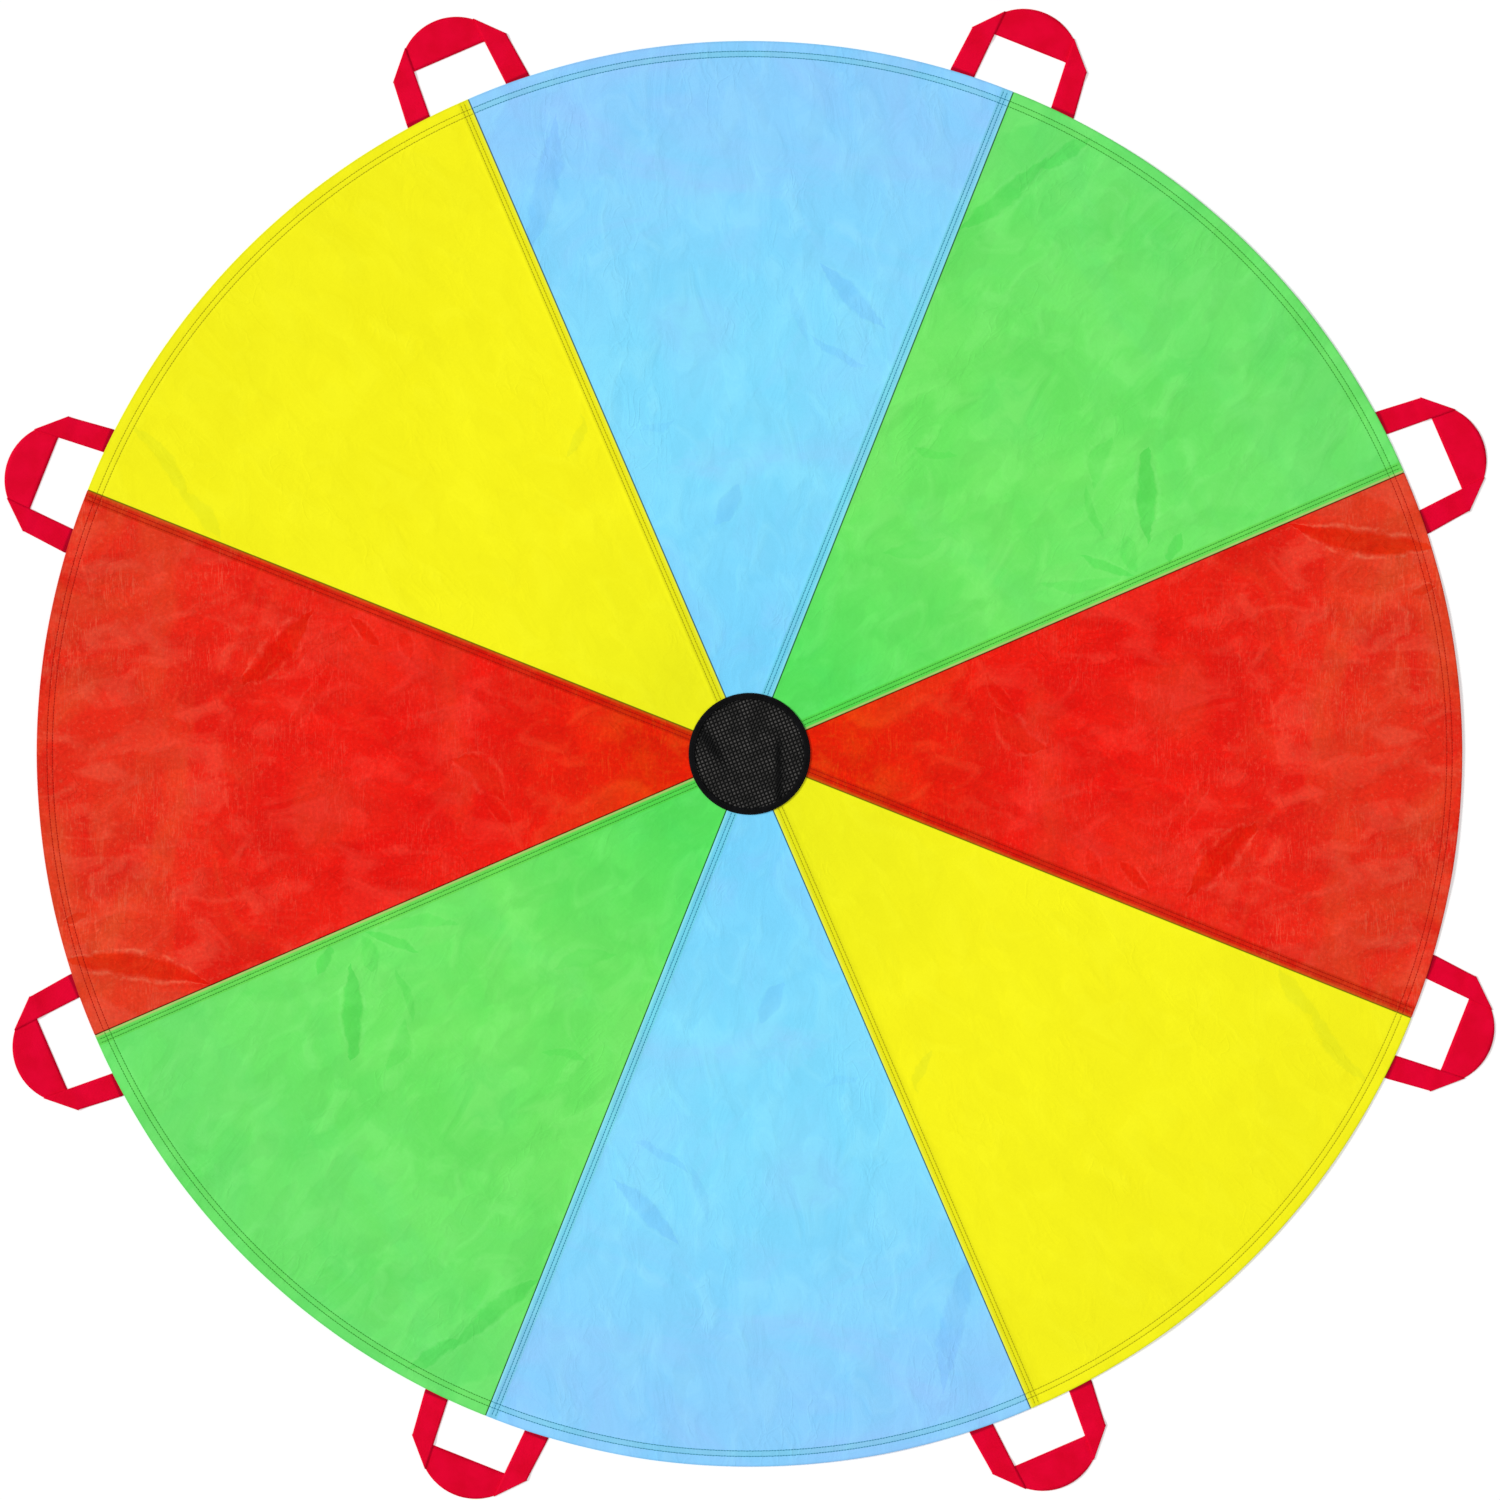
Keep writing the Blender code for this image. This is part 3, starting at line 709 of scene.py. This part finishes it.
def panelMesh(name, turn, hemStrip):
    across, along = acrossStations(), alongStations()
    bm = bmesh.new()
    bmesh.ops.create_grid(bm, x_segments=len(along) - 1, y_segments=len(across) - 1, size=1)
    mesh = meshFrom(bm, name)
    points = readPoints(mesh)
    i = np.rint((points[:, 0] + 1) / 2 * (len(along) - 1)).astype(int)
    j = np.rint((points[:, 1] + 1) / 2 * (len(across) - 1)).astype(int)
    kinds = np.array([station[0] for station in along])[i]
    depth = np.array([station[1] for station in along], float)[i]
    sides = np.array([station[0] for station in across])[j]
    offset = np.array([station[1] for station in across])[j]
    layer = np.array([station[2] for station in across])[j]
    # Distance in from the rim, first as if there were no fold, to find how thick the hem is there
    flatDepth = np.where(kinds == "fold", 0.0, depth)
    angle = acrossAngle(rimRadius - flatDepth, sides, offset)
    fromSeam = np.minimum(angle + halfTurn, halfTurn - angle) * rimRadius
    halfFold = cloth["layerStep"] / 2 + hemStack(fromSeam)
    tilt = np.radians(np.where(kinds == "fold", depth, np.where(kinds == "under", -90.0, 90.0)))
    depth = np.where(kinds == "fold", halfFold - (halfFold + layer) * np.cos(tilt), flatDepth)
    height = cloth["sheetHeight"] - halfFold + (halfFold + layer) * np.sin(tilt)
    radius = rimRadius - depth
    angle = acrossAngle(radius, sides, offset)
    x, y = turned(radius * np.cos(angle), radius * np.sin(angle), turn)
    lapRow = np.zeros(len(x))
    for row in cloth["seamRows"]:
        lapRow = np.maximum(lapRow, (sides == "lap") & (layer == 0) & (np.abs(offset - row) < 1e-6))
    hemRow = np.zeros(len(x))
    for row in cloth["hemRows"]:
        hemRow = np.maximum(hemRow, (kinds == "top") & (np.abs(depth - row) < 1e-6))
    # Painted shade along the stitch rows' dips and by the hem's folded edge
    rows = np.maximum(lapRow * (kinds == "top"), hemRow * (layer == 0))
    # Painted shadow in the gap where a panel slips under its neighbour's lap
    below, above = cloth["gapReach"]
    gap = ((sides == "seam") & (offset < above) & (offset > below)).astype(float)
    nearFold = np.where((kinds == "top") & (depth < cloth["foldReach"]), 0.5, 0.0)
    atEdge = (layer == 0) * np.where(kinds == "fold", 0.8, nearFold)
    face = (layer == 0) & (kinds == "top")
    overLap = (sides == "lap") & face
    low, high = cloth["hemRows"]
    betweenRows = face & (depth < high + 0.0005) & (depth > low - 0.0001)
    storeValues(mesh, "rowShade", np.maximum(rows, atEdge))
    storeValues(mesh, "gapShade", gap)
    # Painted highlight along the lap's folded edge
    storeValues(mesh, "lapEdge", overLap & (offset < cloth["lapReach"]))
    storeValues(
        mesh, "stripShade", np.maximum(overLap & (offset < cloth["allowance"]), betweenRows * hemStrip))
    writePoints(mesh, x, y, height - cloth["rowDip"] * rows + clothHeight(x, y))
    return mesh


def acrossAngle(radius, sides, offset):
    # The angle from the panel's middle line at which a station across it lies
    edgeIn = halfTurn - np.arcsin(cloth["seamReach"] / radius)
    lap = -halfTurn + np.arcsin(np.where(sides == "lap", offset, 0) / radius)
    seam = halfTurn - np.arcsin(np.where(sides == "seam", offset, 0) / radius)
    middle = edgeIn * (2 * offset - 1)
    return np.where(sides == "lap", lap, np.where(sides == "seam", seam, middle))


def clearBelow(mesh, name):
    # Keeps the painted shadow only where the cloth faces up
    normals = np.empty(len(mesh.vertices) * 3, np.float32)
    mesh.vertex_normals.foreach_get("vector", normals)
    values = np.empty(len(mesh.vertices), np.float32)
    mesh.attributes[name].data.foreach_get("value", values)
    mesh.attributes[name].data.foreach_set("value", values * (normals[2::3] > 0))


def addPanels():
    for number, (name, colourName) in enumerate(panels):
        turn = number * panelTurn
        material = clothMaterial(f"cloth_{name}", colourName, turn)
        mesh = panelMesh(f"cloth_{name}", turn, dyes[colourName]["hemStrip"])
        piece = addPiece(f"cloth_{name}", mesh, material)
        thicken(piece, cloth["thickness"])
        clearBelow(piece.data, "gapShade")
        sewOn(piece, name)


# Stitches

stitch = {
    "pitch": 0.0036, "length": 0.0030, "width": 0.0011, "height": 0.00050, "jitter": 0.00018,
    "hubGap": 0.0010, "rimGap": 0.0015, "sink": 0.00005,
}


def topHeight(x, y):
    # Where stitches lie on the cloth, in the dip that their row pulls
    rise = (cloth["thickness"] + stitch["height"]) / 2 - stitch["sink"] - cloth["rowDip"]
    return cloth["sheetHeight"] + rise + clothHeight(x, y)


def undersideHeight(x, y):
    # The lowest layer: the sheet, the allowance under a seam, the hem turned under, or a strap's end
    radius = np.hypot(x, y)
    off = offSeam(np.arctan2(y, x))
    side, depth, step = off * radius, rimRadius - radius, cloth["layerStep"]
    pastEdge = smoothStep(cloth["allowance"] - 0.0002, cloth["allowance"] + 0.0002, side)
    allowance = 2 * step * smoothStep(-0.002, 0.0, side) * (1 - pastEdge)
    hem = step + 2 * hemStack(np.abs(off) * rimRadius)
    drop = np.where(depth < cloth["hemDepth"], hem, allowance)
    lowest = cloth["sheetHeight"] - drop - cloth["thickness"] / 2 + clothHeight(x, y)
    offStrap = np.abs(np.abs(side) - strap["halfGapAtRim"] - strap["width"] / 2)
    atStrap = (offStrap < strap["width"] / 2) & (depth < strap["endDepth"])
    return np.where(atStrap, strap["lowHeight"] - strap["thickness"] / 2, lowest)


def placeStitches(strip, x, y, height, below, top):
    # The lower stitches hang from the lowest layer, pressed in where the floor would touch them
    hung = undersideHeight(x, y) - stitch["height"] / 2 + stitch["sink"]
    hung = np.maximum(hung, stitch["height"] / 2)
    writePoints(strip.data, x, y, height + np.where(below, hung, top))


def stitchStrip(name, count, material):
    # Pairs of stitches in a straight row along X, a pitch apart: one above and a plainer one below
    bm = bmesh.new()
    size = Matrix.Diagonal((stitch["length"] / 2, stitch["width"] / 2, stitch["height"] / 2, 1))
    lengthwise = Matrix.Rotation(math.pi / 2, 4, "Y")
    for level, segments, rings in ((0, 6, 5), (-1, 4, 3)):
        bmesh.ops.create_uvsphere(
            bm, u_segments=segments, v_segments=rings, radius=1,
            matrix=Matrix.Translation((0, 0, level)) @ size @ lengthwise)
    strip = addPiece(name, meshFrom(bm, name), material)
    row = strip.modifiers.new("row", "ARRAY")
    row.count = count
    row.use_relative_offset = False
    row.use_constant_offset = True
    row.constant_offset_displace = (stitch["pitch"], 0, 0)
    finishMesh(strip)
    points = readPoints(strip.data)
    number = np.rint(points[:, 0] / stitch["pitch"])
    skew = stitch["jitter"] * np.sin(number * 2.4 + len(name))
    local = points[:, 0] - number * stitch["pitch"]
    side = points[:, 1] + skew + local * 0.06 * np.sin(number * 1.7)
    along = points[:, 0] + stitch["length"] / 2
    below = points[:, 2] < -0.5
    return strip, along, side, points[:, 2] + below, below


def addRing(node, radius, material, topOf):
    # A row of stitches bent round the middle
    count = round(2 * math.pi * radius / stitch["pitch"])
    strip, along, off, height, below = stitchStrip(f"stitches_{node}", count, material)
    angle = along * 2 * math.pi / (count * stitch["pitch"])
    x, y = (radius + off) * np.cos(angle), (radius + off) * np.sin(angle)
    placeStitches(strip, x, y, height, below, topOf(x, y))
    sewOn(strip, node)
    return strip, angle


def addSeamStitches():
    start = hubRadius + stitch["hubGap"]
    count = int((rimRadius - stitch["rimGap"] - start) / stitch["pitch"])
    materials = {}
    for colourName, tint in threadTints.items():
        materials[colourName] = threadMaterial(f"thread_{colourName}", tint)
    for number in range(8):
        turn = number * panelTurn + halfTurn
        colourName = panels[(number + 1) % 8][1]
        for letter, row in zip("ab", cloth["seamRows"]):
            node = f"seam_{number + 1}_thread_{letter}"
            strip, along, side, height, below = stitchStrip(
                f"stitches_{node}", count, materials[colourName])
            x, y = turned(start + along, row + side, turn)
            placeStitches(strip, x, y, height, below, topHeight(x, y))
            sewOn(strip, node)


def addHemStitches():
    material = threadMaterial("thread_hem", threadTints["green"], fromAttribute=True)
    tints = np.array([(*threadTints[colourName], 1) for panelName, colourName in panels])
    for side, depth in zip(("outer", "inner"), cloth["hemRows"]):
        strip, angle = addRing(f"hem_thread_{side}", rimRadius - depth, material, topHeight)
        panel = np.rint(angle / panelTurn).astype(int) % 8
        colours = strip.data.attributes.new("threadTint", "FLOAT_COLOR", "POINT")
        colours.data.foreach_set("color", tints[panel].astype(np.float32).ravel())


# Hub: net and its binding

hub = {
    "netPitch": 0.0034, "strandWidth": 0.0018, "strandThickness": 0.00022, "weaveRise": 0.00018,
    "netHeight": 0.00235, "layerDrop": 0.0006, "netTurn": -25, "netRadius": 0.0745, "backRadius": 0.0700,
    "bindingMiddle": 0.0740, "bindingHalfWidth": 0.0042, "bindingHalfHeight": 0.00075,
    "bindingHeight": 0.0035, "stitchRows": (0.0715, 0.0765), "swell": 0.0011, "slack": (0.045, 0.069),
    "pucker": 0.00012, "rowDip": 0.00022, "rowDipWidth": 0.0006,
}


def netSwell(x, y):
    # The net lies slack inside its ring, with one soft fold at the lower right
    radius = np.hypot(x, y)
    slack = 1 - smoothStep(*hub["slack"], radius)
    fold = bell(x, 0.039, 0.006) * smoothStep(0.03, -0.02, y)
    waves = 0.5 + 0.25 * np.sin(70 * x + 40 * y) + 0.25 * np.sin(55 * y - 85 * x + 2)
    return hub["swell"] * slack * (waves + 1.2 * fold)


def netShade(x, y):
    # Painted shade: darker in the fold and along the dip that runs down from the upper left
    fold = bell(x, 0.037, 0.004) * (1 - smoothStep(0.0, 0.03, y))
    across, along = turned(x + 0.050, y - 0.014, math.radians(56))
    dip = bell(along, 0, 0.007) * bell(across, 0, 0.035)
    return 1 - np.maximum(0.75 * fold, 0.65 * dip)


def netStrands(bm, radius, drop, shift):
    # Flat strands one way and the other, each passing over and under the ones it crosses
    topLayer = bm.verts.layers.float["crossing"]
    pitch = hub["netPitch"]
    count = int(radius / pitch)
    for quarter in (0, 1):
        for number in range(-count, count + 1):
            place = (number + shift) * pitch
            if abs(place) > radius - pitch / 2:
                continue
            reach = math.sqrt(radius ** 2 - place ** 2)
            steps = max(4, round(2 * reach / pitch * 4))
            made = bmesh.ops.create_grid(bm, x_segments=steps, y_segments=1, size=1)["verts"]
            for vert in made:
                along = vert.co.x * reach
                side = place + vert.co.y * hub["strandWidth"] / 2
                phase = math.pi * (along / pitch - shift + number + quarter)
                rise = hub["weaveRise"] * math.cos(phase) * (1 if quarter else -1)
                spot = (along, side) if quarter else (side, along)
                vert.co = (*spot, hub["netHeight"] - drop + rise)
                # Painted light: top crossings lit, the back layer and under-crossings in painted shade
                vert[topLayer] = 0 if drop else 0.5 + 0.5 * rise / hub["weaveRise"]


def addNet():
    bm = bmesh.new()
    bm.verts.layers.float.new("crossing")
    netStrands(bm, hub["netRadius"], 0, 0)
    netStrands(bm, hub["backRadius"], hub["layerDrop"], 0.5)
    bmesh.ops.rotate(bm, matrix=Matrix.Rotation(math.radians(hub["netTurn"]), 3, "Z"), verts=bm.verts)
    bmesh.ops.recalc_face_normals(bm, faces=bm.faces)
    mesh = meshFrom(bm, "net_mesh")
    points = readPoints(mesh)
    x, y = points[:, 0], points[:, 1]
    writePoints(mesh, x, y, points[:, 2] + netSwell(x, y))
    crossing = mesh.attributes["crossing"].data
    top = np.empty(len(crossing), np.float32)
    crossing.foreach_get("value", top)
    crossing.foreach_set("value", (top * netShade(x, y)).astype(np.float32))
    # Net colours: strands, their paler patches, and the painted shade of the back layer and under-crossings
    material = blackMaterial(
        "net", (0.034, 0.033, 0.031), (0.092, 0.088, 0.084), 0.0003, 0.00006, 0.10, (0.0015, 0.0015, 0.0017))
    piece = addPiece("net_centre", mesh, material)
    thicken(piece, hub["strandThickness"])
    sewOn(piece, "centre_net")


def addBinding():
    bm = bmesh.new()
    bmesh.ops.create_circle(bm, segments=18, radius=1)
    bmesh.ops.scale(bm, vec=(hub["bindingHalfWidth"], hub["bindingHalfHeight"], 1), verts=bm.verts)
    bmesh.ops.rotate(bm, matrix=Matrix.Rotation(math.pi / 2, 3, "X"), verts=bm.verts)
    bmesh.ops.translate(bm, vec=(hub["bindingMiddle"], 0, hub["bindingHeight"]), verts=bm.verts)
    bmesh.ops.spin(
        bm, geom=[*bm.verts, *bm.edges], axis=(0, 0, 1), cent=(0, 0, 0), angle=2 * math.pi,
        steps=240, use_merge=True)
    bmesh.ops.remove_doubles(bm, verts=bm.verts, dist=0.00001)
    bmesh.ops.recalc_face_normals(bm, faces=bm.faces)
    mesh = meshFrom(bm, "binding_mesh")
    points = readPoints(mesh)
    x, y, z = points.T
    angle = np.arctan2(y, x)
    radius = np.hypot(x, y)
    upper = smoothStep(hub["bindingHeight"] - 0.0002, hub["bindingHeight"] + 0.0006, z)
    pucker = hub["pucker"] * upper * (np.sin(angle * 61) + 0.6 * np.sin(angle * 97 + 1))
    for row in hub["stitchRows"]:
        pucker -= hub["rowDip"] * upper * bell(radius, row, hub["rowDipWidth"])
    writePoints(mesh, x, y, z + pucker)
    material = blackMaterial(
        "binding", (0.0015, 0.0015, 0.0018), (0.004, 0.004, 0.005), 0.0007, 0.00012, 0.05)
    sewOn(addPiece("binding_ring", mesh, material), "net_binding")


def addBindingStitches():
    material = threadMaterial("thread_binding", (0.007, 0.007, 0.008))
    for side, radius in zip(("inner", "outer"), hub["stitchRows"]):
        share = (radius - hub["bindingMiddle"]) / hub["bindingHalfWidth"]
        top = hub["bindingHeight"] + hub["bindingHalfHeight"] * math.sqrt(1 - share ** 2)
        addRing(f"binding_thread_{side}", radius, material, lambda x, y: top)


# Handles: one strap each, out from under the hem, folded over its own crown, and back

strap = {
    "width": 0.032, "thickness": 0.0009, "halfGapAtRim": 0.053, "halfGapAtGrip": 0.047,
    "gripReach": 0.060, "cornerReach": 0.057, "crownBulge": 0.017, "endDepth": 0.0245,
    "lowHeight": 0.0005, "highHeight": 0.00155, "crownLift": 0.0008, "acrossSteps": 10,
    "endSteps": 8, "legSteps": 30, "crownSteps": 26,
    "bendShares": [0.008, 0.016, 0.024, 0.042, 0.050, 0.058],  # more stations where it wraps the rim
    # where the painted shadow under the hem has faded
    "bendStart": 0.0, "bendEnd": 0.0040, "tuckEnd": 0.0035,
    "legRise": (0.044, 0.056), "crownRise": (0.070, 0.105), "crownSides": (0.030, 0.046),
}


def strapStations():
    # Inner and outer edge of the strap at each station, on the handle's positive side, as (reach, side)
    gapRim, gapGrip, width = strap["halfGapAtRim"], strap["halfGapAtGrip"], strap["width"]
    shoulder = (strap["gripReach"] + width, gapGrip)
    corner = (strap["cornerReach"], gapGrip + width)
    stations = []
    for number in range(strap["endSteps"]):
        reach = -strap["endDepth"] * (1 - number / strap["endSteps"])
        stations.append(((reach, gapRim), (reach, gapRim + width), "leg"))
    shares = [number / strap["legSteps"] for number in range(strap["legSteps"] + 1)]
    for share in sorted(shares + strap["bendShares"]):
        inner = (shoulder[0] * share, gapRim + (gapGrip - gapRim) * share)
        outer = (corner[0] * share, gapRim + width + (corner[1] - gapRim - width) * share)
        stations.append((inner, outer, "leg"))
    for tilt in (50, 0, -50):
        stations.append((shoulder, corner, tilt))
    bulge = strap["crownBulge"]
    arcRadius = (shoulder[1] ** 2 + bulge ** 2) / (2 * bulge)
    cornerRun, gripRun = corner[1] - gapGrip, gapGrip
    for number in range(strap["crownSteps"] + 1):
        share = number / strap["crownSteps"]
        side = shoulder[1] * (1 - share)
        arcReach = shoulder[0] + bulge - arcRadius + math.sqrt(arcRadius ** 2 - side ** 2)
        run = share * (cornerRun + gripRun)
        innerSide = corner[1] - run
        innerReach = corner[0] + (strap["gripReach"] - corner[0]) * min(1, run / cornerRun)
        stations.append(((arcReach, side), (innerReach, innerSide), "crown"))
    return stations


def strapMesh(name):
    half = strapStations()
    other = [((p[0], -p[1]), (q[0], -q[1]), kind) for p, q, kind in reversed(half[:-1])]
    stations = half + other
    bm = bmesh.new()
    uvLayer = bm.loops.layers.uv.new("strap")
    tuckLayer = bm.verts.layers.float.new("tuckShade")
    bmesh.ops.create_grid(
        bm, x_segments=len(stations) - 1, y_segments=strap["acrossSteps"], size=1)
    middle = len(half) - 1
    foldRadius = (strap["highHeight"] - strap["lowHeight"]) / 2
    places = {}
    for vert in bm.verts:
        number = round((vert.co.x + 1) / 2 * (len(stations) - 1))
        share = (vert.co.y + 1) / 2
        (reachIn, sideIn), (reachOut, sideOut), kind = stations[number]
        reach = reachIn + (reachOut - reachIn) * share
        side = sideIn + (sideOut - sideIn) * share
        if kind == "leg":
            height = strap["lowHeight"] + 2 * foldRadius * float(smoothStep(*strap["legRise"], reach))
            places[vert] = (side, reach)
            # Painted shadow under the hem's edge
            vert[tuckLayer] = 1 - float(smoothStep(0.0, strap["tuckEnd"], reach))
        elif kind == "crown":
            lift = strap["crownLift"] * float(smoothStep(*strap["crownRise"], reach))
            lift *= 0.6 + 0.4 * math.sin(side * 60 + 1)
            height = strap["lowHeight"] + lift * (1 - float(smoothStep(*strap["crownSides"], abs(side))))
            places[vert] = (reach, side)
        else:
            height = strap["lowHeight"] + foldRadius * (1 + math.sin(math.radians(kind)))
            outward = foldRadius * math.cos(math.radians(kind))
            run = Vector((reachOut - reachIn, abs(sideOut) - abs(sideIn))).normalized()
            reach += outward * run.y
            side += outward * -run.x * (1 if number < middle else -1)
            places[vert] = (side, reach)
            # Painted shade along the fold
            vert[tuckLayer] = 0.4
        vert.co = (reach, side, height)
    for face in bm.faces:
        for loop in face.loops:
            loop[uvLayer].uv = places[loop.vert]
    bmesh.ops.recalc_face_normals(bm, faces=bm.faces)
    return meshFrom(bm, name)


def addHandles():
    material = webbingMaterial()
    for number, (body, hinge) in enumerate(hinges):
        turn = number * panelTurn + halfTurn
        mesh = strapMesh(f"strap_{body}")
        points = readPoints(mesh)
        x, y = turned(rimRadius + points[:, 0], points[:, 1], turn)
        writePoints(mesh, x, y, points[:, 2])
        piece = addPiece(f"strap_{body}", mesh, material)
        thicken(piece, strap["thickness"])
        outwards = Vector((math.cos(turn), math.sin(turn), 0))
        start, end = (tuple(hinge + strap[key] * outwards) for key in ("bendStart", "bendEnd"))
        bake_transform(piece, "canopy", body, start=start, end=end)
        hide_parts(f"{body}_loop", f"{body}_end_a", f"{body}_end_b")


makeGroups()
print("camera, lights and floor")
setUpStudio()
print("wrinkles")
makeRumpleMap()
print("panels")
addPanels()
print("stitches")
addSeamStitches()
addHemStitches()
print("hub")
addNet()
addBinding()
addBindingStitches()
print("handles")
addHandles()
